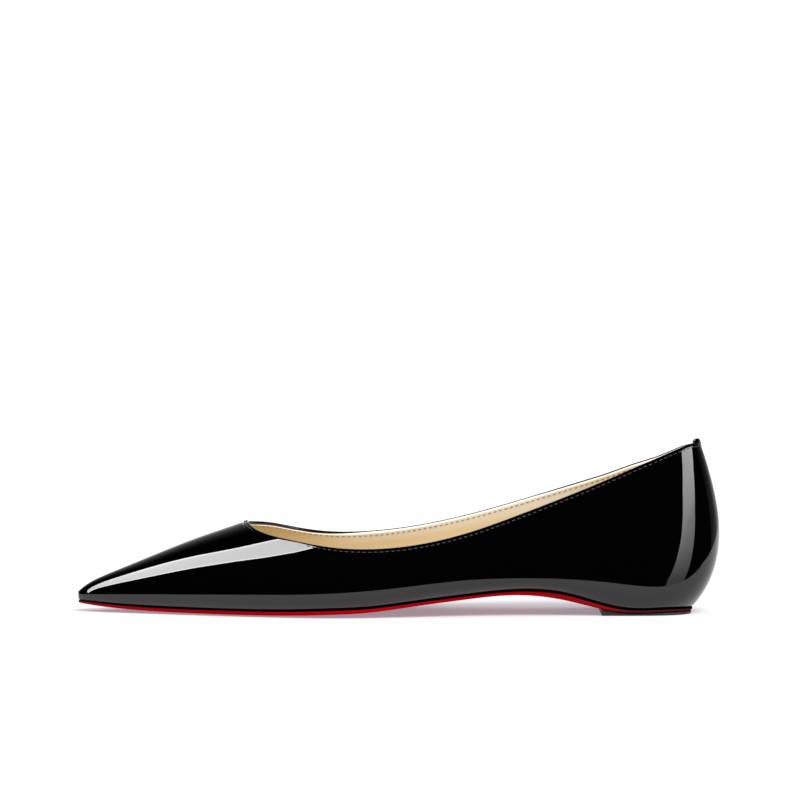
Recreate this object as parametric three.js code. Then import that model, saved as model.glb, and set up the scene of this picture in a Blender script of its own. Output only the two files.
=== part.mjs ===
// Pointed slip-on ballet flat, left shoe, in black patent leather.
// Millimetres, +Z up, toe towards -X, outer (lateral) side towards -Y.
// Every piece is worked out from one last: a widest line round the foot, a
// feather line under it, and a crest above it that the collar is cut from.
import * as THREE from 'three';

// Driving sizes of the last and the upper
const shoeLength = 265;
const ballWidth = 80;
const throatDistance = 70.2;
const throatHeight = 37.3;
const collarHeight = 70;
const collarSag = 18.5;
const bulgeHeight = 33.6;
const heelTuck = 11.4;
const archRise = 7.8;
const toeSpring = 2.2;
const toeBlock = 7;
const soleTipLength = 13;
const upperWall = 1.8;
const backTabHeight = 1.4;
const backTabWidth = 3.5;

// Driving sizes of the pieces below the foot
const outsoleThickness = 1.75;
const treadCrown = 0.95;
const treadEdgeLift = 0.65;
const soleEdgeRound = 0.9;
const insoleThickness = 2;
const heelSeatRise = 8.3;
const heelBlockFront = 69;
const liftLength = 38;
const liftInset = 0.6;
const fit = 0.3;
const wallFit = 0.55;

// How finely the curves are cut
const toeStations = 11;
const collarStations = 27;
const lowerRows = 4;
const upperRows = 8;
const acrossSteps = 8;

// Below the widest line the wall tucks under by this power of the depth
const tuckPower = 2.3;
// The cone behind the foot leans forward by this share of the length
const coneLean = 0.113;
const coneLeanPower = 6;
// The solid toe block fades out behind the tip by this power
const blockFade = 8;
// Angles this close count as one station
const stationGap = 0.02;
const tiny = 1e-9;

// The last, one row for each section from the toe tip to the back.
// at: share of the length. outer, inner: reach of the widest line to each
// side, in half ball widths. widestOut, widestIn: its height, in bulge
// heights. archOut, archIn: rise of the feather line, in arch rises.
// spring: toe spring. tuck: feather line inside the widest line, in heel
// tucks. crest: height of the cone, in throat heights. fullness: weight of
// the section's curve. crown: hollow of the tread. seat: heel seat.
// sole: outsole thickness.
const LAST = [
  { at: 0, outer: -0.075, inner: 0.075, widestOut: 0.203, widestIn: 0.203, archOut: 0, archIn: 0,
    spring: 1, tuck: 0.02, crest: 0.216, fullness: 0.68, crown: 0, seat: 0, sole: 0.55 },
  { at: 0.02, outer: 0.075, inner: 0.221, widestOut: 0.212, widestIn: 0.212, archOut: 0, archIn: 0,
    spring: 0.8, tuck: 0.085, crest: 0.325, fullness: 0.68, crown: 0.05, seat: 0, sole: 0.78 },
  { at: 0.075, outer: 0.275, inner: 0.4, widestOut: 0.227, widestIn: 0.227, archOut: 0, archIn: 0,
    spring: 0.34, tuck: 0.19, crest: 0.4975, fullness: 0.67, crown: 0.25, seat: 0, sole: 0.94 },
  { at: 0.132, outer: 0.449, inner: 0.553, widestOut: 0.238, widestIn: 0.238, archOut: 0, archIn: 0,
    spring: 0.12, tuck: 0.245, crest: 0.665, fullness: 0.66, crown: 0.55, seat: 0, sole: 1 },
  { at: 0.189, outer: 0.616, inner: 0.699, widestOut: 0.248, widestIn: 0.248, archOut: 0, archIn: 0,
    spring: 0.03, tuck: 0.28, crest: 0.823, fullness: 0.65, crown: 0.85, seat: 0, sole: 1 },
  { at: 0.264, outer: 0.813, inner: 0.865, widestOut: 0.265, widestIn: 0.265, archOut: 0, archIn: 0,
    spring: 0, tuck: 0.31, crest: 1.008, fullness: 0.62, crown: 1, seat: 0, sole: 1 },
  { at: 0.34, outer: 0.966, inner: 0.966, widestOut: 0.279, widestIn: 0.279, archOut: 0.035, archIn: 0.05,
    spring: 0, tuck: 0.315, crest: 1.215, fullness: 0.58, crown: 1, seat: 0, sole: 1 },
  { at: 0.396, outer: 1.029, inner: 0.971, widestOut: 0.3, widestIn: 0.306, archOut: 0.095, archIn: 0.14,
    spring: 0, tuck: 0.33, crest: 1.367, fullness: 0.55, crown: 0.95, seat: 0, sole: 1 },
  { at: 0.453, outer: 1.023, inner: 0.909, widestOut: 0.331, widestIn: 0.345, archOut: 0.18, archIn: 0.25,
    spring: 0, tuck: 0.35, crest: 1.517, fullness: 0.51, crown: 0.8, seat: 0, sole: 0.95 },
  { at: 0.528, outer: 0.951, inner: 0.769, widestOut: 0.392, widestIn: 0.415, archOut: 0.46, archIn: 0.56,
    spring: 0, tuck: 0.4, crest: 1.7, fullness: 0.47, crown: 0.6, seat: 0, sole: 0.85 },
  { at: 0.604, outer: 0.852, inner: 0.66, widestOut: 0.452, widestIn: 0.48, archOut: 0.756, archIn: 0.88,
    spring: 0, tuck: 0.44, crest: 1.877, fullness: 0.44, crown: 0.5, seat: 0, sole: 0.82 },
  { at: 0.679, outer: 0.769, inner: 0.623, widestOut: 0.47, widestIn: 0.5, archOut: 0.987, archIn: 1.1,
    spring: 0, tuck: 0.42, crest: 2.04, fullness: 0.41, crown: 0.4, seat: 0.04, sole: 0.9 },
  { at: 0.755, outer: 0.722, inner: 0.644, widestOut: 0.458, widestIn: 0.48, archOut: 0.81, archIn: 0.88,
    spring: 0, tuck: 0.385, crest: 2.225, fullness: 0.385, crown: 0.3, seat: 0.25, sole: 1.28 },
  { at: 0.83, outer: 0.707, inner: 0.675, widestOut: 0.405, widestIn: 0.41, archOut: 0.12, archIn: 0.13,
    spring: 0, tuck: 0.37, crest: 2.41, fullness: 0.365, crown: 0.1, seat: 0.88, sole: 0.85 },
  { at: 0.906, outer: 0.68, inner: 0.668, widestOut: 0.351, widestIn: 0.351, archOut: 0, archIn: 0,
    spring: 0, tuck: 0.385, crest: 2.6, fullness: 0.35, crown: 0, seat: 1, sole: 0.6 },
  { at: 0.962, outer: 0.525, inner: 0.519, widestOut: 0.506, widestIn: 0.506, archOut: 0, archIn: 0,
    spring: 0, tuck: 0.61, crest: 2.735, fullness: 0.335, crown: 0, seat: 1, sole: 0.6 },
  { at: 0.989, outer: 0.307, inner: 0.303, widestOut: 0.76, widestIn: 0.76, archOut: 0, archIn: 0,
    spring: 0, tuck: 0.86, crest: 2.79, fullness: 0.33, crown: 0, seat: 1, sole: 0.6 },
  { at: 1, outer: 0, inner: 0, widestOut: 1, widestIn: 1, archOut: 0, archIn: 0,
    spring: 0, tuck: 1, crest: 2.815, fullness: 0.33, crown: 0, seat: 1, sole: 0.6 },
];

// The collar's dip below a straight line from the throat to the back, in
// collar sags. at: share of the way from the throat to the back.
const COLLAR = [
  { at: 0, outer: 0, inner: 0 },
  { at: 0.004, outer: 0.038, inner: 0.03 },
  { at: 0.016, outer: 0.14, inner: 0.072 },
  { at: 0.05, outer: 0.325, inner: 0.18 },
  { at: 0.11, outer: 0.55, inner: 0.43 },
  { at: 0.2, outer: 0.845, inner: 0.695 },
  { at: 0.33, outer: 1.045, inner: 0.815 },
  { at: 0.45, outer: 1.01, inner: 0.765 },
  { at: 0.58, outer: 0.79, inner: 0.615 },
  { at: 0.71, outer: 0.518, inner: 0.443 },
  { at: 0.78, outer: 0.366, inner: 0.354 },
  { at: 0.845, outer: 0.225, inner: 0.253 },
  { at: 0.9, outer: 0.121, inner: 0.19 },
  { at: 0.95, outer: 0.031, inner: 0.088 },
  { at: 1, outer: 0, inner: 0 },
];

// Angle round a loop at a share of its length, so that both ends are round
const angleAt = (share) => Math.acos(1 - 2 * share);
const shareAt = (angle) => (1 - Math.cos(angle)) / 2;
const mix = (a, b, share) => a + (b - a) * share;

// Solves a small set of linear equations
function solve(matrix, values) {
  const rows = matrix.map((row, i) => [...row, values[i]]);
  const size = rows.length;
  for (let i = 0; i < size; i++) {
    let best = i;
    for (let j = i + 1; j < size; j++) {
      if (Math.abs(rows[j][i]) > Math.abs(rows[best][i])) best = j;
    }
    [rows[i], rows[best]] = [rows[best], rows[i]];
    for (let j = i + 1; j < size; j++) {
      const factor = rows[j][i] / rows[i][i];
      for (let k = i; k <= size; k++) rows[j][k] -= factor * rows[i][k];
    }
  }
  const answer = new Array(size).fill(0);
  for (let i = size - 1; i >= 0; i--) {
    let sum = rows[i][size];
    for (let k = i + 1; k < size; k++) sum -= rows[i][k] * answer[k];
    answer[i] = sum / rows[i][i];
  }
  return answer;
}

// A smooth closed curve through values at angles: the cubic spline whose
// slope and curvature run on round the loop
function loopCurve(knots, values) {
  const count = knots.length;
  const turn = 2 * Math.PI;
  const step = knots.map((knot, i) => (i + 1 < count ? knots[i + 1] - knot : knots[0] + turn - knot));
  const matrix = knots.map(() => new Array(count).fill(0));
  const target = new Array(count).fill(0);
  for (let i = 0; i < count; i++) {
    const before = (i + count - 1) % count;
    const after = (i + 1) % count;
    matrix[i][before] += step[before];
    matrix[i][i] += 2 * (step[before] + step[i]);
    matrix[i][after] += step[i];
    const rise = (values[after] - values[i]) / step[i];
    const riseBefore = (values[i] - values[before]) / step[before];
    target[i] = 6 * (rise - riseBefore);
  }
  const bend = solve(matrix, target);
  return (angle) => {
    const turned = (((angle - knots[0]) % turn) + turn) % turn + knots[0];
    let i = count - 1;
    while (i > 0 && knots[i] > turned) i--;
    const after = (i + 1) % count;
    const left = turned - knots[i];
    const right = step[i] - left;
    const cubic = (bend[i] * right ** 3 + bend[after] * left ** 3) / (6 * step[i]);
    const lineLeft = (values[i] / step[i] - (bend[i] * step[i]) / 6) * right;
    const lineRight = (values[after] / step[i] - (bend[after] * step[i]) / 6) * left;
    return cubic + lineLeft + lineRight;
  };
}

// One loop from two columns: the outer side at negative angles, the inner
// side at positive ones, joined at the toe and at the back
function sides(rows, outer, inner, outerSign = 1) {
  const middle = rows.slice(1, -1);
  const last = rows[rows.length - 1];
  const knots = [];
  const values = [];
  for (const row of [...middle].reverse()) {
    knots.push(-angleAt(row.at));
    values.push(outerSign * row[outer]);
  }
  for (const row of [rows[0], ...middle, last]) {
    knots.push(angleAt(row.at));
    values.push(row[inner]);
  }
  return loopCurve(knots, values);
}

const halfBall = ballWidth / 2;
const featherBase = outsoleThickness + treadEdgeLift + fit;
const throatShare = throatDistance / shoeLength;

const reach = sides(LAST, 'outer', 'inner', -1);
const widestLevel = sides(LAST, 'widestOut', 'widestIn');
const archLevel = sides(LAST, 'archOut', 'archIn');
const springLevel = sides(LAST, 'spring', 'spring');
const tuckShare = sides(LAST, 'tuck', 'tuck');
const crestLevel = sides(LAST, 'crest', 'crest');
const fullness = sides(LAST, 'fullness', 'fullness');
const crownShare = sides(LAST, 'crown', 'crown');
const seatShare = sides(LAST, 'seat', 'seat');
const soleShare = sides(LAST, 'sole', 'sole');
const collarDip = sides(COLLAR, 'outer', 'inner');

// Plan and heights of the last's lines at an angle round the foot
const widestPlan = (angle) => new THREE.Vector2(shoeLength * shareAt(angle), halfBall * reach(angle));
const widestHeight = (angle) => bulgeHeight * widestLevel(angle);
const featherHeight = (angle) =>
  featherBase + archRise * archLevel(angle) + toeSpring * springLevel(angle);

// Level direction pointing away from the foot
function outward(angle) {
  const reachStep = 1e-4;
  const ahead = widestPlan(angle + reachStep);
  const behind = widestPlan(angle - reachStep);
  const along = ahead.sub(behind).normalize();
  return new THREE.Vector2(-along.y, along.x);
}

// The wall at a height below the widest line, set in by some thickness
function tuckedPoint(angle, height, inset) {
  const top = widestHeight(angle);
  const depth = Math.max(0, (top - height) / (top - featherHeight(angle)));
  const inwards = heelTuck * tuckShare(angle) * depth ** tuckPower + inset;
  const plan = widestPlan(angle).addScaledVector(outward(angle), -inwards);
  return new THREE.Vector3(plan.x, plan.y, height);
}

// The crest of the cone that a section runs up to: the vamp's own ridge in
// front of the throat, and the open last behind it
function crestPoint(angle) {
  const share = shareAt(angle);
  const middle = (halfBall * (reach(angle) + reach(-angle))) / 2;
  const lean = shoeLength * coneLean * share ** coneLeanPower;
  return new THREE.Vector3(shoeLength * share - lean, middle, throatHeight * crestLevel(Math.abs(angle)));
}

// The last above the widest line: each section is a conic that leaves the
// widest line upright and meets the crest level, rise going from 0 to 1
function conePoint(angle, rise) {
  const plan = widestPlan(angle);
  const level = widestHeight(angle);
  const crest = crestPoint(angle);
  const low = (1 - rise) ** 2;
  const corner = 2 * fullness(angle) * rise * (1 - rise);
  const high = rise ** 2;
  const total = low + corner + high;
  const inShare = high / total;
  const upShare = (corner + high) / total;
  return new THREE.Vector3(
    mix(plan.x, crest.x, inShare),
    mix(plan.y, crest.y, inShare),
    mix(level, crest.z, upShare),
  );
}

// Rise of a section's conic at a height
function riseAt(angle, height) {
  const level = widestHeight(angle);
  const upShare = (height - level) / (crestPoint(angle).z - level);
  const weight = fullness(angle);
  const ratio = Math.sqrt(weight ** 2 + upShare / (1 - upShare)) - weight;
  return ratio / (1 + ratio);
}

// Height of the collar, with the small folded tab on the back seam
const collarStart = crestPoint(angleAt(throatShare)).z;
function collarLevel(angle) {
  const share = (shareAt(angle) - throatShare) / (1 - throatShare);
  const collarAngle = Math.sign(angle) * angleAt(Math.min(1, Math.max(0, share)));
  const line = mix(collarStart, collarHeight, share);
  const fromSeam = widestPlan(angle).y / backTabWidth;
  const tab = backTabHeight * Math.exp(-(fromSeam ** 2)) * (share > 0.5 ? 1 : 0);
  return line - collarSag * collarDip(collarAngle) + tab;
}

const topRise = (angle) =>
  (shareAt(angle) <= throatShare + tiny ? 1 : riseAt(angle, collarLevel(angle)));

// The inside of the wall above the widest line, one wall thickness in
function innerConePoint(angle, rise) {
  const nudge = 1e-3;
  if (rise >= 1) {
    const around = Math.abs(angle);
    const ridge = crestPoint(around + nudge).sub(crestPoint(around - nudge));
    const down = new THREE.Vector3(ridge.z, 0, -ridge.x).normalize();
    return crestPoint(angle).addScaledVector(down, upperWall);
  }
  const at = Math.min(rise, 1 - nudge);
  const along = conePoint(angle + nudge, at).sub(conePoint(angle - nudge, at));
  const up = conePoint(angle, at + nudge).sub(conePoint(angle, at - nudge));
  return conePoint(angle, rise).addScaledVector(along.cross(up).normalize(), upperWall);
}

// A mesh from vertices and faces, with shared corners joined
const weldSize = 1e-4;
class Skin {
  constructor() {
    this.positions = [];
    this.faces = [];
    this.known = new Map();
  }

  corner(point) {
    const key = point.toArray().map((value) => Math.round(value / weldSize)).join(' ');
    if (!this.known.has(key)) {
      this.known.set(key, this.positions.length / 3);
      this.positions.push(...point.toArray());
    }
    return this.known.get(key);
  }

  triangle(a, b, c) {
    const face = [this.corner(a), this.corner(b), this.corner(c)];
    if (new Set(face).size === 3) this.faces.push(face);
  }

  quad(a, b, c, d) {
    this.triangle(a, b, c);
    this.triangle(a, c, d);
  }

  geometry() {
    const point = (i) => new THREE.Vector3().fromArray(this.positions, 3 * i);
    let volume = 0;
    for (const [a, b, c] of this.faces) volume += point(a).dot(point(b).cross(point(c)));
    const faces = volume < 0 ? this.faces.map(([a, b, c]) => [a, c, b]) : this.faces;
    const shape = new THREE.BufferGeometry();
    shape.setAttribute('position', new THREE.Float32BufferAttribute(this.positions, 3));
    shape.setIndex(faces.flat());
    return shape;
  }
}

// Angles of the sections, close together at the toe, throat and back
function stationAngles() {
  const angles = [];
  for (let i = 0; i < toeStations; i++) {
    angles.push((angleAt(throatShare) * i) / toeStations);
  }
  for (let i = 0; i <= collarStations; i++) {
    const share = shareAt((Math.PI * i) / collarStations);
    angles.push(angleAt(mix(throatShare, 1, share)));
  }
  return angles;
}

// Sections of a solid that lies across the foot, from a first distance back
function stationsFrom(distance) {
  const first = angleAt(distance / shoeLength);
  return [first, ...stationAngles().filter((angle) => angle > first + stationGap)];
}

// The one-piece upper: wall outside, rim, wall inside, feather edge
function makeUpper() {
  const stations = stationAngles();
  const blockAngle = angleAt(toeBlock / shoeLength);
  const depths = Array.from({ length: lowerRows + 1 }, (_, i) => 1 - i / lowerRows);

  const outerColumn = (angle) => {
    const low = featherHeight(angle);
    const level = widestHeight(angle);
    const points = depths.map((depth) => tuckedPoint(angle, mix(level, low, depth), 0));
    for (let i = 1; i <= upperRows; i++) {
      points.push(conePoint(angle, (topRise(angle) * i) / upperRows));
    }
    return points;
  };

  const innerColumn = (angle, top) => {
    const low = featherHeight(angle);
    const level = widestHeight(angle);
    const points = depths.map((depth) => tuckedPoint(angle, mix(level, low, depth), upperWall));
    for (let i = 1; i <= upperRows; i++) {
      points.push(innerConePoint(angle, (top * i) / upperRows));
    }
    return points;
  };
  const side = (angle) => (angle < 0 ? -1 : 1);
  const inward = (angle) => {
    const past = Math.hypot(angle, blockAngle * (1 - shareAt(angle)) ** blockFade);
    return side(angle) * Math.min(past, Math.PI);
  };

  const loop = [...stations.slice(1).reverse().map((angle) => -angle), ...stations.slice(0, -1)];
  const outside = loop.map(outerColumn);
  const inside = loop.map((angle) => {
    if (angle === 0) {
      const left = innerColumn(-blockAngle, 1);
      return innerColumn(blockAngle, 1).map((point, i) => point.add(left[i]).multiplyScalar(0.5));
    }
    return innerColumn(inward(angle), topRise(angle));
  });

  const skin = new Skin();
  const rows = lowerRows + upperRows;
  loop.forEach((angle, i) => {
    const next = (i + 1) % loop.length;
    for (let row = 0; row < rows; row++) {
      skin.quad(outside[i][row], outside[next][row], outside[next][row + 1], outside[i][row + 1]);
      skin.quad(inside[i][row], inside[i][row + 1], inside[next][row + 1], inside[next][row]);
    }
    skin.quad(outside[i][0], inside[i][0], inside[next][0], outside[next][0]);
    const open = Math.max(shareAt(angle), shareAt(loop[next])) > throatShare + tiny;
    if (open) skin.quad(outside[i][rows], outside[next][rows], inside[next][rows], inside[i][rows]);
  });
  return skin.geometry();
}

// A solid lofted through closed sections, with flat ends where it is cut off
function loft(sections, capFirst) {
  const skin = new Skin();
  const count = sections[0].length;
  for (let i = 0; i + 1 < sections.length; i++) {
    for (let j = 0; j < count; j++) {
      const next = (j + 1) % count;
      skin.quad(sections[i][j], sections[i][next], sections[i + 1][next], sections[i + 1][j]);
    }
  }
  if (capFirst) {
    const face = sections[0];
    for (let j = 0; j < count / 2 - 1; j++) {
      skin.quad(face[j], face[count - 1 - j], face[count - 2 - j], face[j + 1]);
    }
  }
  return skin.geometry();
}

// Heights of the layers under the foot, across a section from the outer
// side (0) to the inner side (1)
const hollow = (angle, share) => treadCrown * crownShare(angle) * 4 * share * (1 - share);
const featherAcross = (angle, share) => mix(featherHeight(-angle), featherHeight(angle), share);
const outsoleTop = (angle, share) => featherAcross(angle, share) - fit - hollow(angle, share);
const outsoleUnder = (angle, share) =>
  Math.max(0, outsoleTop(angle, share) - outsoleThickness * soleShare(angle));
const insoleUnder = (angle, share) =>
  featherAcross(angle, share) - hollow(angle, share) + heelSeatRise * seatShare(angle);

const acrossShares = Array.from({ length: acrossSteps + 1 }, (_, i) => i / acrossSteps);
const stretch = (left, right, share) => new THREE.Vector3().lerpVectors(left, right, share);

// A section between two heights, its edges fitted to the wall around it
function layerSection(angle, edge, topHeight, underHeight) {
  const row = (height, shares) => {
    const left = edge(-angle, height(angle, 0));
    const right = edge(angle, height(angle, 1));
    return shares.map((share) => stretch(left, right, share).setZ(height(angle, share)));
  };
  return [...row(topHeight, acrossShares), ...row(underHeight, [...acrossShares].reverse())];
}

const insideWall = (angle, height) => tuckedPoint(angle, height, upperWall + wallFit);

function makeInsole() {
  const top = (angle, share) => insoleUnder(angle, share) + insoleThickness;
  const stations = stationsFrom(toeBlock + 3 * fit);
  return loft(stations.map((angle) => layerSection(angle, insideWall, top, insoleUnder)), true);
}

// The low block that carries the heel seat inside the wrapped upper
function makeHeel() {
  const top = (angle, share) => insoleUnder(angle, share) - fit;
  const under = (angle, share) => outsoleTop(angle, share) + fit;
  const stations = stationsFrom(shoeLength - heelBlockFront);
  return loft(stations.map((angle) => layerSection(angle, insideWall, top, under)), true);
}

// The thin outsole, its edge upright above and rounded below
function makeOutsole() {
  const edgePoint = (angle, inset, height) =>
    tuckedPoint(angle, featherHeight(angle), inset).setZ(height);
  const section = (angle) => {
    const ring = (inset, height, shares) => {
      const left = edgePoint(-angle, inset, 0);
      const right = edgePoint(angle, inset, 0);
      return shares.map((share) => stretch(left, right, share).setZ(height(share)));
    };
    const waist = (share) => mix(outsoleTop(angle, share), outsoleUnder(angle, share), 0.5);
    const round = soleEdgeRound * Math.min(1, (shoeLength * shareAt(angle)) / soleTipLength);
    return [
      ...ring(0, (share) => outsoleTop(angle, share), acrossShares),
      ...ring(0, waist, [1]),
      ...ring(round, (share) => outsoleUnder(angle, share), [...acrossShares].reverse()),
      ...ring(0, waist, [0]),
    ];
  };
  return loft(stationAngles().map(section), false);
}

// The heel's top piece, flat on the floor under the outsole
function makeTopLift() {
  const edge = (angle, height) =>
    tuckedPoint(angle, featherHeight(angle), liftInset).setZ(height);
  const top = (angle, share) => outsoleUnder(angle, share) - fit;
  const stations = stationsFrom(shoeLength - heelTuck - liftLength);
  return loft(stations.map((angle) => layerSection(angle, edge, top, () => 0)), true);
}

function finish(color, roughness) {
  return new THREE.MeshStandardMaterial({ color, roughness, metalness: 0 });
}

function piece(name, geometry, material) {
  const mesh = new THREE.Mesh(geometry, material);
  mesh.name = name;
  return mesh;
}

const patentLeather = finish(0x0a0a0a, 0.06);
const redSole = finish(0xb00006, 0.35);
const goldLining = finish(0xd8b888, 0.55);
const heelBoard = finish(0x8a6a48, 0.8);
const liftRubber = finish(0x121212, 0.7);

const shoe = new THREE.Group();
shoe.add(
  piece('upper', makeUpper(), patentLeather),
  piece('outsole', makeOutsole(), redSole),
  piece('insole', makeInsole(), goldLining),
  piece('heel', makeHeel(), heelBoard),
  piece('top_lift', makeTopLift(), liftRubber),
);

// Centred over its length and width, standing on the floor
const bounds = new THREE.Box3().setFromObject(shoe);
const middle = bounds.getCenter(new THREE.Vector3());
shoe.position.set(-middle.x, -middle.y, -bounds.min.z);

export default shoe;
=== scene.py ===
"""Looks of the pointed ballet flat: patent upper, lining, stitches, sole, floor, lights and camera.

Lengths are in millimetres in the last's own coordinates: X from the toe tip to the back, outer side
towards -Y, Z up from the floor. to_row turns them into metres in the row frame.
"""

import math

import bmesh
import bpy
import numpy as np
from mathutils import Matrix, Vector


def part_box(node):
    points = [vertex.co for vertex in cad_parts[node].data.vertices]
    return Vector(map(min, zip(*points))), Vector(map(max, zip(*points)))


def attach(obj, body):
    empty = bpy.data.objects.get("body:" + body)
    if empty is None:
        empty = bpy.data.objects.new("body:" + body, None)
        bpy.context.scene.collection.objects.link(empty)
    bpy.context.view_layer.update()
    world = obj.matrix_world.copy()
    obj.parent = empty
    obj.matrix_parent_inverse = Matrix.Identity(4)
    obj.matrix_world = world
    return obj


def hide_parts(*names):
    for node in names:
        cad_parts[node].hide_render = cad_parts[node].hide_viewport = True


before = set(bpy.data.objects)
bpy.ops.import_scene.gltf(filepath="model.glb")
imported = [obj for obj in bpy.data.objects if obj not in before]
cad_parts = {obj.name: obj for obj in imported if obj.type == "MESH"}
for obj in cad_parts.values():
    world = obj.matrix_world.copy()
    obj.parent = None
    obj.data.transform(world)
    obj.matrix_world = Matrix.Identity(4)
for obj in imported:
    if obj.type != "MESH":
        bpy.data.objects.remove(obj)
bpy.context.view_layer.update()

MM = 0.001

# Driving sizes, the same as the solid model's
SHOE_LENGTH = 265.0
BALL_WIDTH = 80.0
THROAT_DISTANCE = 70.2
THROAT_HEIGHT = 37.3
COLLAR_HEIGHT = 70.0
COLLAR_SAG = 18.5
BULGE_HEIGHT = 33.6
HEEL_TUCK = 11.4
ARCH_RISE = 7.8
TOE_SPRING = 2.2
TOE_BLOCK = 7.0
UPPER_WALL = 1.8
OUTSOLE_THICKNESS = 1.75
TREAD_CROWN = 0.95
TREAD_EDGE_LIFT = 0.65
SOLE_TIP_LENGTH = 13.0
INSOLE_THICKNESS = 2.0
HEEL_SEAT_RISE = 8.3
LIFT_LENGTH = 38.0
LIFT_INSET = 0.6
FIT = 0.3
WALL_FIT = 0.55
TUCK_POWER = 2.3
CONE_LEAN = 0.113
CONE_LEAN_POWER = 6

# Sizes of what only shows here
THROAT_FOLD = 1.4
SIDE_FOLD = 0.3
BACK_FOLD = 0.55
LINING_EDGE_SHARE = 0.62
LINING_STRIP = 0.8
FEATHER_ROUND = 1.45
FEATHER_SHARE_TOE = 0.15
FEATHER_SHARE = 0.3
FEATHER_TURN_IN = 7.0
FEATHER_TURN_ROOM = 25.0
STITCH_DROP = 1.45
STITCH_PITCH = 2.35
STITCH_LENGTH = 1.6
STITCH_WIDTH = 0.34
STITCH_LIFT = 0.28
STITCH_ARCH = 0.55
TAB_WIDTH = 5.2
TAB_HEIGHT = 3.4
TAB_THICKNESS = 3.3
TAB_DROP = -0.25
TAB_DEPTH_IN = 1.3
BLACK_EDGE_TOE = 0.55
BLACK_EDGE = 0.25
FLOOR_FRONT = -225.0
FLOOR_REACH = 8000.0

# Distances from the toe between which the feather edge and the sole's black edge change, and painted
# shade darkens the sole's red
FEATHER_WIDENS = (70, 140)
BLACK_EDGE_THINS = (10, 90)
SOLE_PAINTED_SHADE_DIMS = (180, 205)
SOLE_PAINTED_SHADE_DARKENS = (215, 228)

# Shares of the shoe's length, and of the wall's height, between which painted light comes and goes on the
# lining's side, paler near the top
LINING_PAINTED_LIGHT_COMES = (0.35, 0.45)
LINING_PAINTED_LIGHT_GOES = (0.72, 0.85)
LINING_PAINTED_LIGHT_HEIGHTS = (0.79, 1)

# Shares round the collar, 0 at the throat and 1 at the back, between which its looks change, among them
# the painted light on the lining's top edge
FOLD_THINS = (0.13, 0.27)
FOLD_THICKENS = (0.6, 0.7)
STITCHES_SINK = (0.015, 0.03)
STITCHES_RISE = (0.12, 0.135)
EDGE_PAINTED_LIGHT_COMES = (0.12, 0.25)
EDGE_PAINTED_LIGHT_GOES = (0.62, 0.8)
EDGE_PAINTED_LIGHT_COMES_AGAIN = (0.75, 0.9)

# Strength of painted light and painted shade, 0 to 1
PAINTED_LIGHT_TOP = 0.85
SOLE_PAINTED_SHADE_DIM = 0.3
SOLE_PAINTED_SHADE_DARK = 0.55

# Detail of the meshes; WELD is in metres
WELD = 1e-6
THROAT_NUDGE = 1e-7
TOE_COLUMNS = 70
COLLAR_COLUMNS_EACH_SIDE = 150
LOWER_ROWS = 22
UPPER_ROWS = 52
ACROSS = 25
SEAM_STEPS = 4000
SOLE_STATIONS = 320
SOCK_STATIONS = 200
LIFT_STATIONS = 140

# Colours, all linear
PATENT_BLACK = (0.0004, 0.0004, 0.0004)
SOLE_RED = (0.34, 0.0, 0.003)
# The sole's black top edge, whose colour also paints shade on the red towards the heel
SOLE_DARK = (0.014, 0.008, 0.007)
LINING_GOLD = (0.585, 0.462, 0.28)
# The lining's raw edge, whose colour also paints light on the top of the lining's walls and edge
LINING_PALE = (0.68, 0.64, 0.56)
THREAD_BLACK = (0.035, 0.034, 0.033)
THREAD_BROWN = (0.30, 0.11, 0.04)
RUBBER_BLACK = (0.012, 0.011, 0.011)
BOARD_BROWN = (0.25, 0.15, 0.07)
FLOOR_WHITE = (0.42, 0.42, 0.42)
# Painted light: the floor's glow, which lifts the shadows on it and tints them lilac
FLOOR_GLOW = (0.3, 0.265, 0.3)

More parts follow.
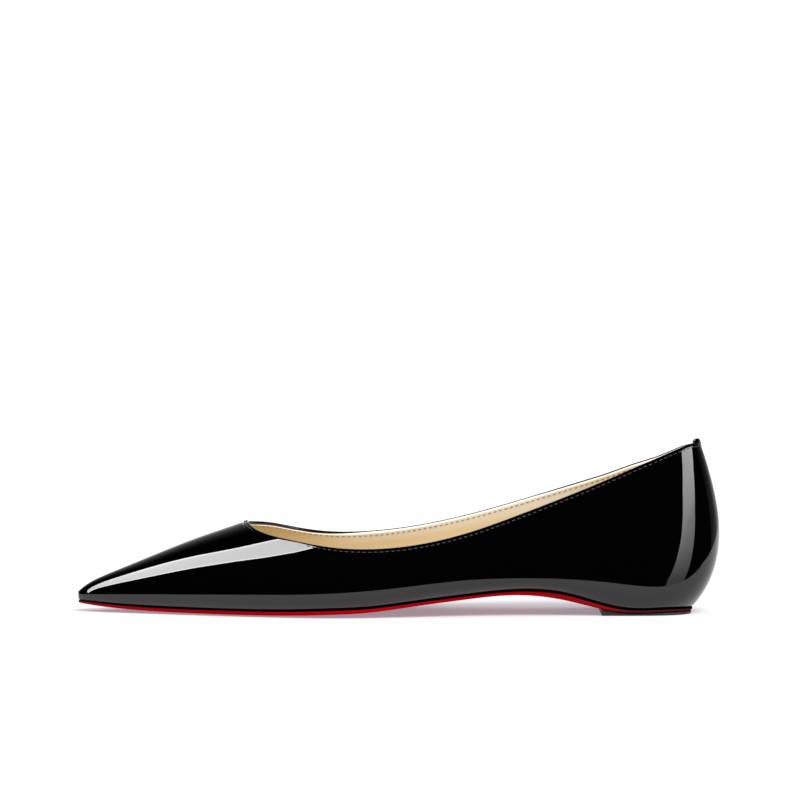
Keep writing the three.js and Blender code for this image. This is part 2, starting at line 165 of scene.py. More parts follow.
# The last, one row for each section from the toe tip to the back, in the
# shares that the solid model's table uses
LAST_COLUMNS = (
    "at outer inner widest_out widest_in arch_out arch_in "
    "spring tuck crest fullness crown seat sole"
).split()
LAST = [
    (0, -0.075, 0.075, 0.203, 0.203, 0, 0, 1, 0.02, 0.216, 0.68, 0, 0, 0.55),
    (0.02, 0.075, 0.221, 0.212, 0.212, 0, 0, 0.8, 0.085, 0.325, 0.68, 0.05, 0, 0.78),
    (0.075, 0.275, 0.4, 0.227, 0.227, 0, 0, 0.34, 0.19, 0.4975, 0.67, 0.25, 0, 0.94),
    (0.132, 0.449, 0.553, 0.238, 0.238, 0, 0, 0.12, 0.245, 0.665, 0.66, 0.55, 0, 1),
    (0.189, 0.616, 0.699, 0.248, 0.248, 0, 0, 0.03, 0.28, 0.823, 0.65, 0.85, 0, 1),
    (0.264, 0.813, 0.865, 0.265, 0.265, 0, 0, 0, 0.31, 1.008, 0.62, 1, 0, 1),
    (0.34, 0.966, 0.966, 0.279, 0.279, 0.035, 0.05, 0, 0.315, 1.215, 0.58, 1, 0, 1),
    (0.396, 1.029, 0.971, 0.3, 0.306, 0.095, 0.14, 0, 0.33, 1.367, 0.55, 0.95, 0, 1),
    (0.453, 1.023, 0.909, 0.331, 0.345, 0.18, 0.25, 0, 0.35, 1.517, 0.51, 0.8, 0, 0.95),
    (0.528, 0.951, 0.769, 0.392, 0.415, 0.46, 0.56, 0, 0.4, 1.7, 0.47, 0.6, 0, 0.85),
    (0.604, 0.852, 0.66, 0.452, 0.48, 0.756, 0.88, 0, 0.44, 1.877, 0.44, 0.5, 0, 0.82),
    (0.679, 0.769, 0.623, 0.47, 0.5, 0.987, 1.1, 0, 0.42, 2.04, 0.41, 0.4, 0.04, 0.9),
    (0.755, 0.722, 0.644, 0.458, 0.48, 0.81, 0.88, 0, 0.385, 2.225, 0.385, 0.3, 0.25, 1.28),
    (0.83, 0.707, 0.675, 0.405, 0.41, 0.12, 0.13, 0, 0.37, 2.41, 0.365, 0.1, 0.88, 0.85),
    (0.906, 0.68, 0.668, 0.351, 0.351, 0, 0, 0, 0.385, 2.6, 0.35, 0, 1, 0.6),
    (0.962, 0.525, 0.519, 0.506, 0.506, 0, 0, 0, 0.61, 2.735, 0.335, 0, 1, 0.6),
    (0.989, 0.307, 0.303, 0.76, 0.76, 0, 0, 0, 0.86, 2.79, 0.33, 0, 1, 0.6),
    (1, 0, 0, 1, 1, 0, 0, 0, 1, 2.815, 0.33, 0, 1, 0.6),
]

# The collar's dip below a straight line from the throat to the back
COLLAR_COLUMNS = "at outer inner".split()
COLLAR = [
    (0, 0, 0),
    (0.004, 0.038, 0.03),
    (0.016, 0.14, 0.072),
    (0.05, 0.325, 0.18),
    (0.11, 0.55, 0.43),
    (0.2, 0.845, 0.695),
    (0.33, 1.045, 0.815),
    (0.45, 1.01, 0.765),
    (0.58, 0.79, 0.615),
    (0.71, 0.518, 0.443),
    (0.78, 0.366, 0.354),
    (0.845, 0.225, 0.253),
    (0.9, 0.121, 0.19),
    (0.95, 0.031, 0.088),
    (1, 0, 0),
]


# Curves round the foot

def angle_at(share):
    return np.arccos(1 - 2 * np.asarray(share, float))


def share_at(angle):
    return (1 - np.cos(angle)) / 2


def mix(a, b, share):
    return a + (b - a) * share


def ease(value, start, end):
    """0 before start, 1 after end, and smooth between them."""
    past = np.clip((value - start) / (end - start), 0, 1)
    return past**2 * (3 - 2 * past)


def loop_curve(knots, values):
    """The smooth closed curve (periodic cubic spline) through values at angles."""
    knots, values = np.array(knots, float), np.array(values, float)
    count, turn = len(knots), 2 * np.pi
    step = np.append(knots[1:], knots[0] + turn) - knots
    rise = (np.roll(values, -1) - values) / step
    matrix = np.zeros((count, count))
    for i in range(count):
        matrix[i, i - 1] += step[i - 1]
        matrix[i, i] += 2 * (step[i - 1] + step[i])
        matrix[i, (i + 1) % count] += step[i]
    bend = np.linalg.solve(matrix, 6 * (rise - np.roll(rise, 1)))

    def curve(angle):
        turned = (np.asarray(angle, float) - knots[0]) % turn + knots[0]
        i = np.clip(np.searchsorted(knots, turned, side="right") - 1, 0, count - 1)
        after = (i + 1) % count
        left = turned - knots[i]
        right = step[i] - left
        cubic = (bend[i] * right**3 + bend[after] * left**3) / (6 * step[i])
        line_left = (values[i] / step[i] - bend[i] * step[i] / 6) * right
        line_right = (values[after] / step[i] - bend[after] * step[i] / 6) * left
        return cubic + line_left + line_right

    return curve


def sides(rows, columns, outer, inner, outer_sign=1):
    """One loop from two columns: outer side at negative angles, inner side at positive ones."""
    out, into, at = columns.index(outer), columns.index(inner), columns.index("at")
    middle = rows[1:-1]
    knots = [-angle_at(row[at]) for row in reversed(middle)]
    values = [outer_sign * row[out] for row in reversed(middle)]
    knots += [angle_at(row[at]) for row in rows]
    values += [row[into] for row in rows]
    return loop_curve(knots, values)


def last_curve(outer, inner=None, sign=1):
    return sides(LAST, LAST_COLUMNS, outer, inner or outer, sign)


HALF_BALL = BALL_WIDTH / 2
FEATHER_BASE = OUTSOLE_THICKNESS + TREAD_EDGE_LIFT + FIT
THROAT_SHARE = THROAT_DISTANCE / SHOE_LENGTH
THROAT_ANGLE = float(angle_at(THROAT_SHARE))

reach = last_curve("outer", "inner", -1)
widest_level = last_curve("widest_out", "widest_in")
arch_level = last_curve("arch_out", "arch_in")
spring_level = last_curve("spring")
tuck_share = last_curve("tuck")
crest_level = last_curve("crest")
fullness = last_curve("fullness")
crown_share = last_curve("crown")
seat_share = last_curve("seat")
sole_share = last_curve("sole")
collar_dip = sides(COLLAR, COLLAR_COLUMNS, "outer", "inner")


# The last's surface

def join(*parts):
    return np.stack(np.broadcast_arrays(*parts), -1)


def unit(vectors):
    return vectors / np.linalg.norm(vectors, axis=-1, keepdims=True)


def dot(a, b):
    return (a * b).sum(-1)


def widest_plan(angle):
    return join(SHOE_LENGTH * share_at(angle), HALF_BALL * reach(angle))


def widest_height(angle):
    return BULGE_HEIGHT * widest_level(angle)


def feather_height(angle):
    return FEATHER_BASE + ARCH_RISE * arch_level(angle) + TOE_SPRING * spring_level(angle)


def outward(angle):
    """Level direction pointing away from the foot."""
    step = 1e-4
    along = unit(widest_plan(angle + step) - widest_plan(angle - step))
    return join(-along[..., 1], along[..., 0])


def tucked_point(angle, height, inset):
    """The wall at a height below the widest line, set in by some thickness."""
    top = widest_height(angle)
    depth = np.maximum(0, (top - height) / (top - feather_height(angle)))
    inwards = HEEL_TUCK * tuck_share(angle) * depth**TUCK_POWER + inset
    plan = widest_plan(angle) - outward(angle) * np.asarray(inwards)[..., None]
    return join(plan[..., 0], plan[..., 1], height)


def crest_point(angle):
    share = share_at(angle)
    middle = HALF_BALL * (reach(angle) + reach(-angle)) / 2
    lean = SHOE_LENGTH * CONE_LEAN * share**CONE_LEAN_POWER
    return join(SHOE_LENGTH * share - lean, middle, THROAT_HEIGHT * crest_level(np.abs(angle)))


def cone_point(angle, rise):
    """The wall above the widest line: a conic from the widest line to the crest, rise 0 to 1."""
    plan, level, crest = widest_plan(angle), widest_height(angle), crest_point(angle)
    low, high = (1 - rise) ** 2, rise**2
    corner = 2 * fullness(angle) * rise * (1 - rise)
    total = low + corner + high
    in_share, up_share = high / total, (corner + high) / total
    return join(
        mix(plan[..., 0], crest[..., 0], in_share),
        mix(plan[..., 1], crest[..., 1], in_share),
        mix(level, crest[..., 2], up_share),
    )


def rise_at(angle, height):
    level = widest_height(angle)
    up_share = np.clip((height - level) / (crest_point(angle)[..., 2] - level), 0, 1 - 1e-9)
    weight = fullness(angle)
    ratio = np.sqrt(weight**2 + up_share / (1 - up_share)) - weight
    return ratio / (1 + ratio)


def wall_inward(angle, rise):
    """Direction into the foot, square to the wall above the widest line."""
    nudge = 1e-3
    at = np.minimum(rise, 1 - nudge)
    along = cone_point(angle + nudge, at) - cone_point(angle - nudge, at)
    up = cone_point(angle, at + nudge) - cone_point(angle, at - nudge)
    return unit(np.cross(along, up))


# The collar, by an angle round the opening that is 0 at the throat

COLLAR_START = THROAT_HEIGHT * float(crest_level(THROAT_ANGLE))


def collar_spot(turn):
    """Angle round the last and rise of the collar's line."""
    turn = (turn + np.pi) % (2 * np.pi) - np.pi
    share = mix(THROAT_SHARE, 1, share_at(turn))
    angle = np.where(turn < 0, -1, 1) * angle_at(share)
    line = mix(COLLAR_START, COLLAR_HEIGHT, share_at(turn))
    return angle, rise_at(angle, line - COLLAR_SAG * collar_dip(turn))


def below_collar(turn, drop):
    """Angle and rise of what lies a distance below the collar, measured over the wall."""
    nudge = 1e-4
    angle, rise = collar_spot(turn)
    along = unit(cone_point(*collar_spot(turn + nudge)) - cone_point(*collar_spot(turn - nudge)))
    target = np.cross(along, wall_inward(angle, rise)) * np.asarray(drop)[..., None]
    at = np.minimum(rise, 1 - nudge)
    by_angle = (cone_point(angle + nudge, at) - cone_point(angle - nudge, at)) / (2 * nudge)
    by_rise = (cone_point(angle, at + nudge) - cone_point(angle, at - nudge)) / (2 * nudge)
    angle_size, rise_size, shared = dot(by_angle, by_angle), dot(by_rise, by_rise), dot(by_angle, by_rise)
    angle_part, rise_part = dot(by_angle, target), dot(by_rise, target)
    spread = angle_size * rise_size - shared**2
    move_angle = (angle_part * rise_size - rise_part * shared) / spread
    move_rise = (rise_part * angle_size - angle_part * shared) / spread
    return angle + move_angle, np.minimum(rise + move_rise, 1)


def collar_wall(turn, drop, depth):
    """A point some way below the collar and some depth into the wall."""
    angle, rise = below_collar(turn, drop)
    return cone_point(angle, rise) + wall_inward(angle, rise) * np.asarray(depth)[..., None]


# Meshes

def to_row(points):
    return (np.asarray(points, float) + ROW_SHIFT) * MM


def grid_faces(columns, rows, start=0, flip=False):
    faces = []
    for i in range(columns - 1):
        near, far = start + i * rows, start + (i + 1) * rows
        for j in range(rows - 1):
            face = (near + j, far + j, far + j + 1, near + j + 1)
            faces.append(face[::-1] if flip else face)
    return faces


def make_mesh(name, grids, finish, shade=None):
    """A smooth mesh from pairs (grid of points, flip), shared corners joined, riding on the shoe.

    shade, if given, is a list with one array per grid that goes into the "shade" attribute.
    """
    points, faces, shades = [], [], []
    for number, (grid, flip) in enumerate(grids):
        columns, rows = grid.shape[:2]
        faces += grid_faces(columns, rows, sum(len(p) for p in points), flip)
        points.append(grid.reshape(-1, 3))
        if shade is not None:
            shades.append(np.broadcast_to(shade[number], (columns, rows)).reshape(-1))
    mesh = bpy.data.meshes.new(name)
    mesh.from_pydata(to_row(np.concatenate(points)).tolist(), [], faces)
    if shade is not None:
        layer = mesh.attributes.new("shade", "FLOAT", "POINT")
        layer.data.foreach_set("value", np.concatenate(shades).astype(np.float32))
    work = bmesh.new()
    work.from_mesh(mesh)
    bmesh.ops.remove_doubles(work, verts=work.verts, dist=WELD)
    work.to_mesh(mesh)
    work.free()
    piece = bpy.data.objects.new(name, mesh)
    bpy.context.scene.collection.objects.link(piece)
    mesh.materials.append(finish)
    mesh.shade_smooth()
    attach(piece, "root")
    return piece


# The upper and the lining

collar_turns = np.linspace(-np.pi, np.pi, 2 * COLLAR_COLUMNS_EACH_SIDE + 1)
toe_angles = THROAT_ANGLE * np.linspace(-1, 1, 2 * TOE_COLUMNS + 1)[1:-1]
outer_turns = collar_turns[: COLLAR_COLUMNS_EACH_SIDE + 1]
inner_turns = collar_turns[COLLAR_COLUMNS_EACH_SIDE:]


def fold_at(turn):
    """Thickness of the patent leather rolled over the collar."""
    share = share_at(turn)
    front = mix(THROAT_FOLD, SIDE_FOLD, ease(share, *FOLD_THINS))
    return mix(front, BACK_FOLD, ease(share, *FOLD_THICKENS))


def round_the_foot(drop_at, inside=False):
    """Base angle, top angle and top rise of each column, from the back round the toe and back.

    Inside, the columns at the toe spread apart round the toe block.
    """
    outer, inner = np.copy(outer_turns), np.copy(inner_turns)
    outer[-1], inner[0] = -THROAT_NUDGE, THROAT_NUDGE
    tops = [below_collar(turns, drop_at(turns)) for turns in (outer, inner)]
    bases = [collar_spot(turns)[0] for turns in (outer, inner)]
    move = tops[1][0][0] - THROAT_ANGLE
    toe = toe_angles
    if inside:
        block = float(angle_at(TOE_BLOCK / SHOE_LENGTH)) * (1 - share_at(toe) / THROAT_SHARE) ** 3
        toe = np.where(toe < 0, -1, 1) * np.hypot(toe, block)
    toe_tops = toe + np.sign(toe) * move * (np.abs(toe) / THROAT_ANGLE) ** 6
    angle = np.concatenate([bases[0], toe, bases[1]])
    top_angle = np.concatenate([tops[0][0], toe_tops, tops[1][0]])
    top_rise = np.concatenate([tops[0][1], np.ones(len(toe)), tops[1][1]])
    return angle, top_angle, top_rise


def upper_rows(columns, depth, shares):
    """Points above the widest line for each column and share of the way up."""
    angle, top_angle, top_rise = columns
    share = shares[None, :]
    at = angle[:, None] + (top_angle - angle)[:, None] * share**3
    rise = top_rise[:, None] * share
    points = cone_point(at, rise)
    return points + wall_inward(at, rise) * depth if depth else points


def make_upper(finish):
    """Patent leather outside, rolled over the collar and turned in at the feather edge."""
    columns = round_the_foot(lambda turns: fold_at(turns) / 2)
    angle = columns[0][:, None]
    low, level = feather_height(angle), widest_height(angle)
    along = SHOE_LENGTH * share_at(angle)
    round_share = mix(FEATHER_SHARE_TOE, FEATHER_SHARE, ease(along, *FEATHER_WIDENS))
    edge = np.minimum(FEATHER_ROUND, round_share * (level - low))
    bend = np.linspace(0, np.pi / 2, 7)[None, :]
    room = FEATHER_TURN_IN * np.minimum(1, along / FEATHER_TURN_ROOM)
    way_in = room * np.array([[1, 0.5]])
    turn_in = tucked_point(angle, low, edge + way_in)
    width = HALF_BALL * np.abs(reach(angle) - reach(-angle))
    inside = np.clip(way_in / np.maximum(width, room + edge), 0, 0.5)
    turn_in[..., 2] -= hollow(angle, inside) + FIT / 2
    rounded = tucked_point(angle, low + edge * (1 - np.cos(bend)), edge * (1 - np.sin(bend)))
    up = np.linspace(0, 1, LOWER_ROWS)[None, 1:]
    wall = tucked_point(angle, mix(low + edge, level, up), 0)
    upper = upper_rows(columns, 0, np.linspace(0, 1, UPPER_ROWS)[1:])
    outside = np.concatenate([turn_in, rounded, wall, upper], 1)
    over = np.linspace(0, np.pi, 11)[None, :]
    turns = collar_turns[:, None]
    fold = fold_at(turns)
    roll = fold / 2
    rim = collar_wall(turns, roll * (1 - np.sin(over)), roll * (1 - np.cos(over)))
    under = collar_wall(turns, roll + np.array([[0.5, 1.0]]), fold + np.zeros((1, 2)))
    rim = np.concatenate([rim, under], 1)
    piece = make_mesh("upper_patent", [(outside, True), (rim, True)], finish)
    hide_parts("upper")


def make_lining(finish):
    """Leather inside the upper, with its raw edge under the rolled collar and painted light near its top.
    """
    columns = round_the_foot(lambda turns: LINING_EDGE_SHARE * fold_at(turns) + LINING_STRIP, inside=True)
    angle = columns[0][:, None]
    down = np.linspace(1, 0, LOWER_ROWS)[None, :]
    below = tucked_point(angle, mix(widest_height(angle), feather_height(angle), down), UPPER_WALL)
    shares = np.linspace(0, 1, UPPER_ROWS)[1:]
    above = upper_rows(columns, UPPER_WALL, shares)
    inside = np.concatenate([below, above], 1)
    # Rows over the raw edge: drop below its line, share of the way from the lining to the fold, paint
    edge_rows = np.array([
        (LINING_STRIP, 0.0, 0.0), (0.28, 0.0, 0.35), (0.1, 0.06, 1.0), (0.0, 0.25, 1.0),
        (0.0, 0.7, 1.0), (0.1, 0.95, 1.0), (0.5, 1.0, 1.0),
    ])
    drop, across, paint = edge_rows.T[:, None]
    turns = collar_turns[:, None]
    fold = fold_at(turns)
    edge = collar_wall(turns, LINING_EDGE_SHARE * fold + drop, mix(UPPER_WALL, 0.95 * fold, across))
    along, around = share_at(columns[0])[:, None], share_at(turns)
    # Painted light: the lining's walls are painted paler towards the top, and its top edge round the
    # collar, where light falls in; the raw edge rows keep their own pale colour
    pale = PAINTED_LIGHT_TOP * ease(along, *LINING_PAINTED_LIGHT_COMES) * (1 - ease(along, *LINING_PAINTED_LIGHT_GOES))
    sides_painted_light = np.concatenate([0 * down, ease(shares, *LINING_PAINTED_LIGHT_HEIGHTS)[None, :]], 1) * pale
    edge_painted_light = PAINTED_LIGHT_TOP * ease(around, *EDGE_PAINTED_LIGHT_COMES) * (1 - ease(around, *EDGE_PAINTED_LIGHT_GOES))
    edge_raw_and_painted_light = np.maximum(paint, np.maximum(edge_painted_light, ease(around, *EDGE_PAINTED_LIGHT_COMES_AGAIN)))
    grids = [(inside, False), (edge, False)]
    make_mesh("lining", grids, finish, [sides_painted_light, edge_raw_and_painted_light])


# Stitches and tab

def under_the_light(around):
    """1 where the mirrored light on the vamp lets no outside stitch show, and 0 elsewhere."""
    return ease(around, *STITCHES_SINK) * (1 - ease(around, *STITCHES_RISE))


def make_stitches(name, depth, lift, finish, sunk=None):
    """A row of short stitches along the collar, each arched out of the leather.

    depth is that of the leather's surface in the wall, and lift the arch's rise, negative outwards.
    sunk, if given, says by the share round the collar where the stitches lie under the surface.
    """
    fine = np.linspace(-np.pi, np.pi, SEAM_STEPS + 1)
    seam = collar_wall(fine, STITCH_DROP, depth)
    travelled = np.append(0, np.cumsum(np.linalg.norm(np.diff(seam, axis=0), axis=1)))
    count = round(travelled[-1] / STITCH_PITCH)
    middles = (np.arange(count) + 0.5) * travelled[-1] / count
    share = np.linspace(-1, 1, 9)[None, :]
    turns = np.interp(middles[:, None] + share * STITCH_LENGTH / 2, travelled, fine)
    angle, rise = below_collar(turns, STITCH_DROP)
    inward = wall_inward(angle, rise)
    hidden = sunk(share_at(turns)) if sunk else np.zeros_like(turns)
    arch = depth + mix(lift * (STITCH_ARCH - share**2), STITCH_WIDTH, hidden)
    spine = cone_point(angle, rise) + inward * arch[..., None]
    along = unit(np.gradient(spine, axis=1))
    across = unit(np.cross(along, inward))
    radius = STITCH_WIDTH / 2 * np.sqrt(np.maximum(1 - share**4, 0.02))
    grids = []
    ring = np.linspace(0, 2 * np.pi, 9)
    for i in range(count):
        aside = across[i][:, None] * np.cos(ring)[None, :, None]
        wrap = aside - inward[i][:, None] * np.sin(ring)[None, :, None]
        grids.append((spine[i][:, None] + wrap * radius[0][:, None, None], False))
    make_mesh(name, grids, finish)


def make_back_tab(finish):
    """The small strip folded over the top of the back seam."""
    side = np.linspace(-1, 1, 21)
    slope = 2e-3
    edge = cone_point(*collar_spot(np.pi - slope))[1] / slope
    turns = np.pi - side * TAB_WIDTH / 2 / edge
    nudge = 1e-4
    angle, rise = collar_spot(turns)
    place, inward = cone_point(angle, rise), wall_inward(angle, rise)
    along = unit(cone_point(*collar_spot(turns + nudge)) - cone_point(*collar_spot(turns - nudge)))
    down = np.cross(along, inward)
    ring = np.linspace(0, 2 * np.pi, 33)[None, :]
    end_power, square_power = 5, 0.75
    swell = np.sqrt(np.maximum(1 - np.abs(side) ** end_power, 0.0))[:, None]
    square = [np.sign(wave) * np.abs(wave) ** square_power for wave in (np.cos(ring), np.sin(ring))]
    drop = TAB_DROP + TAB_HEIGHT / 2 * swell * square[0]
    depth = TAB_DEPTH_IN + TAB_THICKNESS / 2 * swell * square[1]
    grid = place[:, None] + down[:, None] * drop[..., None] + inward[:, None] * depth[..., None]
    make_mesh("back_tab", [(grid, False)], finish)


# The layers under the foot

def hollow(angle, share):
    return TREAD_CROWN * crown_share(angle) * 4 * share * (1 - share)


def feather_across(angle, share):
    return mix(feather_height(-angle), feather_height(angle), share)


def outsole_top(angle, share):
    return feather_across(angle, share) - FIT - hollow(angle, share)


def outsole_under(angle, share):
    return np.maximum(0, outsole_top(angle, share) - OUTSOLE_THICKNESS * sole_share(angle))


def insole_under(angle, share):
    return feather_across(angle, share) - hollow(angle, share) + HEEL_SEAT_RISE * seat_share(angle)


def slab(stations, edge_at, top_at, under_at, side_profile):
    """Grid of sections with rounded sides.

    side_profile has rows (inset, share of the way down) from the top of the side to its foot.
    """
    across = np.linspace(0, 1, ACROSS)
    angle = stations[:, None]

    def ring(inset, down, shares):
        left, right = edge_at(-angle, inset, down), edge_at(angle, inset, down)
        plan = left[..., :2] + (right - left)[..., :2] * shares[None, :, None]
        height = mix(top_at(angle, shares[None, :]), under_at(angle, shares[None, :]), down)
        return join(plan[..., 0], plan[..., 1], height)

    parts = [ring(*side_profile[0], across)]
    parts += [ring(*row, np.array([1.0])) for row in side_profile[1:-1]]
    parts.append(ring(*side_profile[-1], across[::-1]))
    parts += [ring(*row, np.array([0.0])) for row in reversed(side_profile[1:-1])]
    section = np.concatenate(parts, 1)
    return np.concatenate([section, section[:, :1]], 1)


def end_cap(section):
    """Closes the flat front of a slab between its top row and its lower row."""
    top, lower = section[:ACROSS], section[ACROSS:]
    step = (len(lower) - 1 - ACROSS) // 2
    under = lower[step : step + ACROSS][::-1]
    return np.stack([top, under], 1)


def stations_from(distance, count):
    return np.linspace(float(angle_at(distance / SHOE_LENGTH)), np.pi, count)


def make_sole(finish):
    """Red outsole with a black top edge, its red darkened towards the heel by painted shade."""

    def edge(angle, inset, down):
        nearness = np.minimum(1, SHOE_LENGTH * share_at(angle) / SOLE_TIP_LENGTH)
        return tucked_point(angle, feather_height(angle), inset * nearness)

    profile = [
        (0.3, 0), (0.12, 0.05), (0.04, 0.12), (0.0, 0.2), (0.0, 0.28), (0.0, 0.36), (0.0, 0.45),
        (0.1, 0.62), (0.3, 0.78), (0.58, 0.91), (0.95, 1),
    ]
    stations = stations_from(0, SOLE_STATIONS)
    grid = slab(stations, edge, outsole_top, outsole_under, profile)
    along = SHOE_LENGTH * share_at(stations)[:, None]
    thickness = OUTSOLE_THICKNESS * sole_share(stations)[:, None]
    black = mix(BLACK_EDGE_TOE, BLACK_EDGE, ease(along, *BLACK_EDGE_THINS)) / thickness
    # Painted shade: the red darkens towards the heel, where the heel's bulge overhangs it
    dark = SOLE_PAINTED_SHADE_DIM * ease(along, *SOLE_PAINTED_SHADE_DIMS) + SOLE_PAINTED_SHADE_DARK * ease(along, *SOLE_PAINTED_SHADE_DARKENS)

    def side(rows):
        down, blur = np.array([[row[1] for row in rows]]), 0.05
        return 1 - ease(down, black - blur, black + blur)

    black_across = np.ones((SOLE_STATIONS, ACROSS))
    red_across, seam = 0 * black_across, np.ones((SOLE_STATIONS, 1))
    parts = [black_across, side(profile[1:-1]), red_across, side(profile[-2:0:-1]), seam]
    paint = np.maximum(np.concatenate(parts, 1), dark)
    piece = make_mesh("sole", [(grid, False)], finish, [paint])
    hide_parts("outsole")


def make_sock(finish):
    """Insole with its sock, as one piece that fills the foot of the wall."""

    def edge(angle, inset, down):
        height = insole_under(angle, 1) + INSOLE_THICKNESS * (1 - down)
        return tucked_point(angle, height, UPPER_WALL + WALL_FIT / 2 + inset)

    def top(angle, share):
        return insole_under(angle, share) + INSOLE_THICKNESS

    profile = [(0.5, 0), (0.2, 0.05), (0.0, 0.2), (0.0, 0.6), (0.0, 1)]
    front = TOE_BLOCK + 3 * FIT
    grid = slab(stations_from(front, SOCK_STATIONS), edge, top, insole_under, profile)
    piece = make_mesh("sock", [(grid, False), (end_cap(grid[0]), False)], finish)
    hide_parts("insole")


def make_lift(finish):
    """The black piece that the heel stands on."""

    def edge(angle, inset, down):
        return tucked_point(angle, feather_height(angle), LIFT_INSET + inset)

    def top(angle, share):
        return outsole_under(angle, share) - FIT

    def floor_level(angle, share):
        return 0 * angle * share

    profile = [(0.1, 0), (0.0, 0.08), (0.0, 0.9), (0.12, 1)]
    front = SHOE_LENGTH - HEEL_TUCK - LIFT_LENGTH
    grid = slab(stations_from(front, LIFT_STATIONS), edge, top, floor_level, profile)
    piece = make_mesh("heel_lift", [(grid, False), (end_cap(grid[0]), False)], finish)
    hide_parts("top_lift")


def dress_heel(finish):
    """The heel block hardly shows, so it keeps the solid's own mesh."""
    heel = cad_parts["heel"]
    heel.data.materials.clear()
    heel.data.materials.append(finish)
    heel.data.shade_smooth()


# Finishes

def new_material(name, colour, roughness, specular=0.5):
    """A material and its shader."""
    made = bpy.data.materials.new(name)
    made.use_nodes = True
    shader = made.node_tree.nodes["Principled BSDF"]
    shader.inputs["Base Color"].default_value = (*colour, 1)
    shader.inputs["Roughness"].default_value = roughness
    shader.inputs["Specular IOR Level"].default_value = specular
    return made, shader


def add_bump(made, shader, scale, strength, distance):
    """Grain from noise, with its scale per metre and its height in metres."""
    nodes, links = made.node_tree.nodes, made.node_tree.links
    place = nodes.new("ShaderNodeTexCoord")
    noise = nodes.new("ShaderNodeTexNoise")
    noise.inputs["Scale"].default_value = scale
    noise.inputs["Detail"].default_value = 2.0
    bump = nodes.new("ShaderNodeBump")
    bump.inputs["Strength"].default_value = strength
    bump.inputs["Distance"].default_value = distance
    links.new(place.outputs["Object"], noise.inputs["Vector"])
    links.new(noise.outputs["Fac"], bump.inputs["Height"])
    links.new(bump.outputs["Normal"], shader.inputs["Normal"])


def paint_by_shade(made, shader, plain, painted):
    """Blends the colour from plain to painted by the mesh's shade attribute."""
    nodes, links = made.node_tree.nodes, made.node_tree.links
    shade = nodes.new("ShaderNodeAttribute")
    shade.attribute_name = "shade"
    blend = nodes.new("ShaderNodeMix")
    blend.data_type = "RGBA"
    blend.inputs["A"].default_value = (*plain, 1)
    blend.inputs["B"].default_value = (*painted, 1)
    links.new(shade.outputs["Fac"], blend.inputs["Factor"])
    links.new(blend.outputs["Result"], shader.inputs["Base Color"])


def patent_leather():
    made, shader = new_material("patent_leather", PATENT_BLACK, roughness=0.02)
    shader.inputs["IOR"].default_value = 1.55
    add_bump(made, shader, scale=120, strength=0.1, distance=0.0001)
    return made


def sole_leather():
    made, shader = new_material("sole_leather", SOLE_RED, roughness=0.6, specular=0.0)
    add_bump(made, shader, scale=900, strength=0.12, distance=0.0003)
    paint_by_shade(made, shader, SOLE_RED, SOLE_DARK)
    return made


def lining_leather():
    made, shader = new_material("lining_leather", LINING_GOLD, roughness=0.5, specular=0.3)
    add_bump(made, shader, scale=1400, strength=0.25, distance=0.0002)
    paint_by_shade(made, shader, LINING_GOLD, LINING_PALE)
    return made


def thread(name, colour, roughness):
    return new_material(name, colour, roughness)[0]


def lift_rubber():
    made, shader = new_material("lift_rubber", RUBBER_BLACK, roughness=0.55)
    add_bump(made, shader, scale=1500, strength=0.3, distance=0.0002)
    return made


def heel_board():
    made, shader = new_material("heel_board", BOARD_BROWN, roughness=0.8)
    add_bump(made, shader, scale=700, strength=0.3, distance=0.0003)
    return made


# Floor, lights and camera

def make_floor():
    """A white table whose front edge ends the pale band that the patent leather mirrors."""
    left, right, front, back = -FLOOR_REACH, FLOOR_REACH, FLOOR_FRONT, FLOOR_REACH
    corners = [(left, front), (right, front), (right, back), (left, back)]
    mesh = bpy.data.meshes.new("floor")
    mesh.from_pydata([(x * MM, y * MM, 0) for x, y in corners], [], [(0, 1, 2, 3)])
    white, shader = new_material("floor_white", FLOOR_WHITE, roughness=1.0, specular=0.0)
    # The floor glows faintly: painted light that lifts the shadows on it and tints them lilac, as light
    # off the red sole would
    shader.inputs["Emission Color"].default_value = (*FLOOR_GLOW, 1)
    shader.inputs["Emission Strength"].default_value = 1.0
    mesh.materials.append(white)
    floor = bpy.data.objects.new("floor", mesh)
    bpy.context.scene.collection.objects.link(floor)


def make_world():
    """White to the camera and to matt surfaces, dark where the patent leather mirrors it."""
    world = bpy.data.worlds.new("studio")
    bpy.context.scene.world = world
    world.use_nodes = True
    nodes, links = world.node_tree.nodes, world.node_tree.links
    nodes.clear()
    path = nodes.new("ShaderNodeLightPath")
    white = nodes.new("ShaderNodeBackground")
    white.inputs["Color"].default_value = (1, 1, 1, 1)
    white.inputs["Strength"].default_value = 1.05
    dark = nodes.new("ShaderNodeBackground")
    dark.inputs["Color"].default_value = (0.0, 0.0, 0.0, 1)
    blend = nodes.new("ShaderNodeMixShader")
    output = nodes.new("ShaderNodeOutputWorld")
    links.new(path.outputs["Is Glossy Ray"], blend.inputs["Fac"])
    links.new(white.outputs["Background"], blend.inputs[1])
    links.new(dark.outputs["Background"], blend.inputs[2])
    links.new(blend.outputs["Shader"], output.inputs["Surface"])


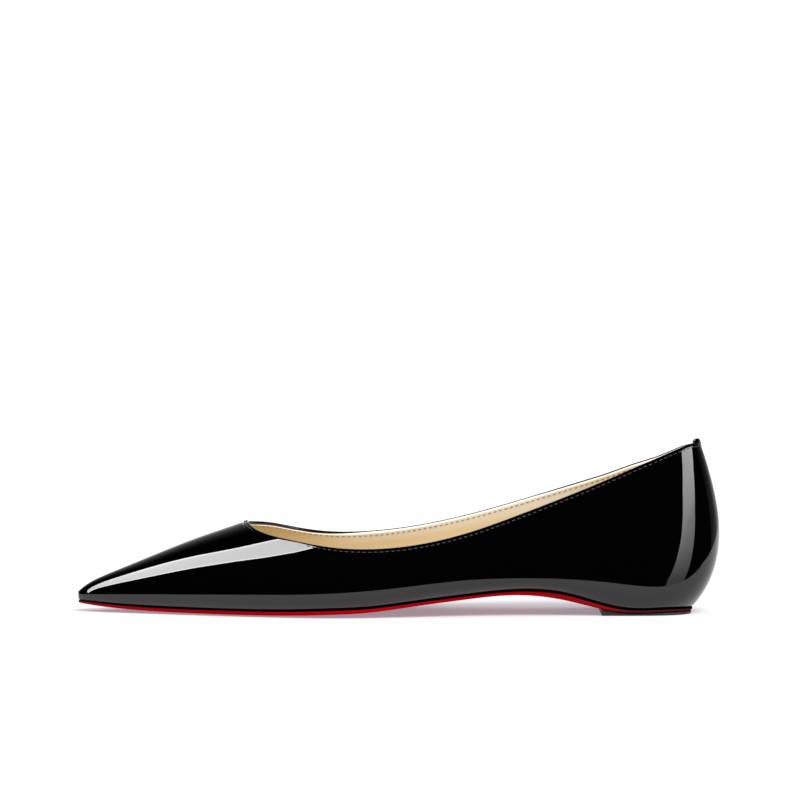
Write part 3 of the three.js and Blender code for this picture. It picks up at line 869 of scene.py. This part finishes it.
def softbox(name, corners, brightness):
    """A glowing sheet through corner points, in millimetres, seen only in glossy surfaces.

    corners is a grid of points and brightness its strength at each of them.
    """
    grid = np.asarray(corners, float)
    columns, rows = grid.shape[:2]
    mesh = bpy.data.meshes.new(name)
    mesh.from_pydata(to_row(grid.reshape(-1, 3)).tolist(), [], grid_faces(columns, rows))
    layer = mesh.attributes.new("glow", "FLOAT", "POINT")
    layer.data.foreach_set("value", np.asarray(brightness, np.float32).reshape(-1))
    made = bpy.data.materials.new(name)
    made.use_nodes = True
    nodes, links = made.node_tree.nodes, made.node_tree.links
    nodes.clear()
    glow = nodes.new("ShaderNodeAttribute")
    glow.attribute_name = "glow"
    light = nodes.new("ShaderNodeEmission")
    output = nodes.new("ShaderNodeOutputMaterial")
    links.new(glow.outputs["Fac"], light.inputs["Strength"])
    links.new(light.outputs["Emission"], output.inputs["Surface"])
    mesh.materials.append(made)
    sheet = bpy.data.objects.new(name, mesh)
    bpy.context.scene.collection.objects.link(sheet)
    sheet.visible_camera = False
    sheet.visible_diffuse = False
    sheet.visible_shadow = False


def direction(azimuth, elevation):
    """Unit direction: azimuth 0 is the camera's side and 90 the heel's."""
    turn, up = math.radians(azimuth), math.radians(elevation)
    return Vector((math.sin(turn) * math.cos(up), -math.cos(turn) * math.cos(up), math.sin(up)))


def make_vamp_softbox():
    """The strip light over the vamp, brighter along its two long rims.

    Its corners are (X, Y) from the toe's end to the throat's, on the camera's side and on the far one.
    """
    height = 1000
    near_side = [
        (-6000, -1600), (-1500, -290), (-980, -175), (-820, -200),
        (-620, -255), (-550, -335), (-450, -417), (-330, -460),
    ]
    far_side = [
        (-5500, -1400), (-950, 280), (-640, 455), (-580, 345),
        (-460, 190), (-425, 125), (-395, 50), (-330, -100),
    ]
    rims = np.linspace(0.13, 0.055, len(near_side))
    glow = [16.5, 16.5, 11.9, 10.3, 14, 14]
    box = []
    for near, far, rim in zip(near_side, far_side, rims):
        shares = (0, 0.8 * rim, rim, 1 - rim, 1 - 0.8 * rim, 1)
        box.append([(*mix(np.array(near), np.array(far), share), height) for share in shares])
    softbox("softbox_vamp", box, [glow] * len(box))


def make_heel_softbox():
    """The tall light mirrored on the heel, by its directions from the foot's end upwards."""
    distance = 1200
    left = [(27, -7), (32, 1), (39, 7), (49, 15), (57, 23), (70, 29)]
    right = [(48, -7), (56, 1), (64, 8), (75, 17), (85, 21), (102, 23)]
    glow = [0.7, 0.9, 1.7, 3.5, 6, 7]
    centre = Vector((SHOE_LENGTH / 2, 0, 0))
    box = [[centre + distance * direction(*spot) for spot in line] for line in (left, right)]
    softbox("softbox_heel", box, [glow] * len(box))


def make_back_screen():
    """The dim wall behind the shoe, mirrored along the top of the vamp and the back of the heel."""
    distance, width = 3000, 4000
    levels = (0, 600, 1400, 2500, 3600)
    places = [SHOE_LENGTH / 2 + x for x in (-width, 0, width, 2 * width)]
    glows = [
        [1.9, 0.95, 0.3, 0.06, 0], [1.1, 0.55, 0.2, 0.05, 0],
        [0.2, 0.13, 0.08, 0.03, 0], [0.12, 0.09, 0.06, 0.02, 0],
    ]
    softbox("back_screen", [[(x, distance, z) for z in levels] for x in places], glows)


def make_key_light():
    """A wide sun from the camera's side, which gives the shadow but no mirrored spot."""
    sun = bpy.data.lights.new("key_light", "SUN")
    sun.energy = 4.6
    sun.angle = math.radians(35)
    key = bpy.data.objects.new("key_light", sun)
    bpy.context.scene.collection.objects.link(key)
    key.rotation_euler = direction(30, 48).to_track_quat("Z", "Y").to_euler()
    key.visible_glossy = False


def make_camera():
    """The photo's camera, found from the two collar edges and the shoe's foot."""
    lens, sensor = 195.4, 36.0
    place = Vector((0.65, -1788.9, 140.0)) * MM
    aim = Vector((0.65, 1.1, 87.35)) * MM
    data = bpy.data.cameras.new("camera")
    data.lens, data.sensor_width = lens, sensor
    camera = bpy.data.objects.new("camera", data)
    bpy.context.scene.collection.objects.link(camera)
    camera.location = place
    camera.rotation_euler = (aim - place).to_track_quat("-Z", "Y").to_euler()
    bpy.context.scene.camera = camera


# The solid model is centred over its length and width
upper_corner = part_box("upper")[0]
outline = widest_plan(np.linspace(-np.pi, np.pi, 2000))
ROW_SHIFT = np.array([upper_corner.x / MM, upper_corner.y / MM - outline[:, 1].min(), 0.0])

patent = patent_leather()
lining = lining_leather()
make_upper(patent)
make_back_tab(patent)
make_lining(lining)
black_thread = thread("thread_black", THREAD_BLACK, roughness=0.3)
make_stitches("stitches_outside", 0.0, -STITCH_LIFT, black_thread, under_the_light)
brown_thread = thread("thread_brown", THREAD_BROWN, roughness=0.6)
make_stitches("stitches_inside", UPPER_WALL, STITCH_LIFT, brown_thread)
make_sole(sole_leather())
make_sock(lining)
make_lift(lift_rubber())
dress_heel(heel_board())

make_floor()
make_world()
make_vamp_softbox()
make_heel_softbox()
make_back_screen()
make_key_light()
make_camera()
bpy.context.scene.view_settings.view_transform = "Standard"
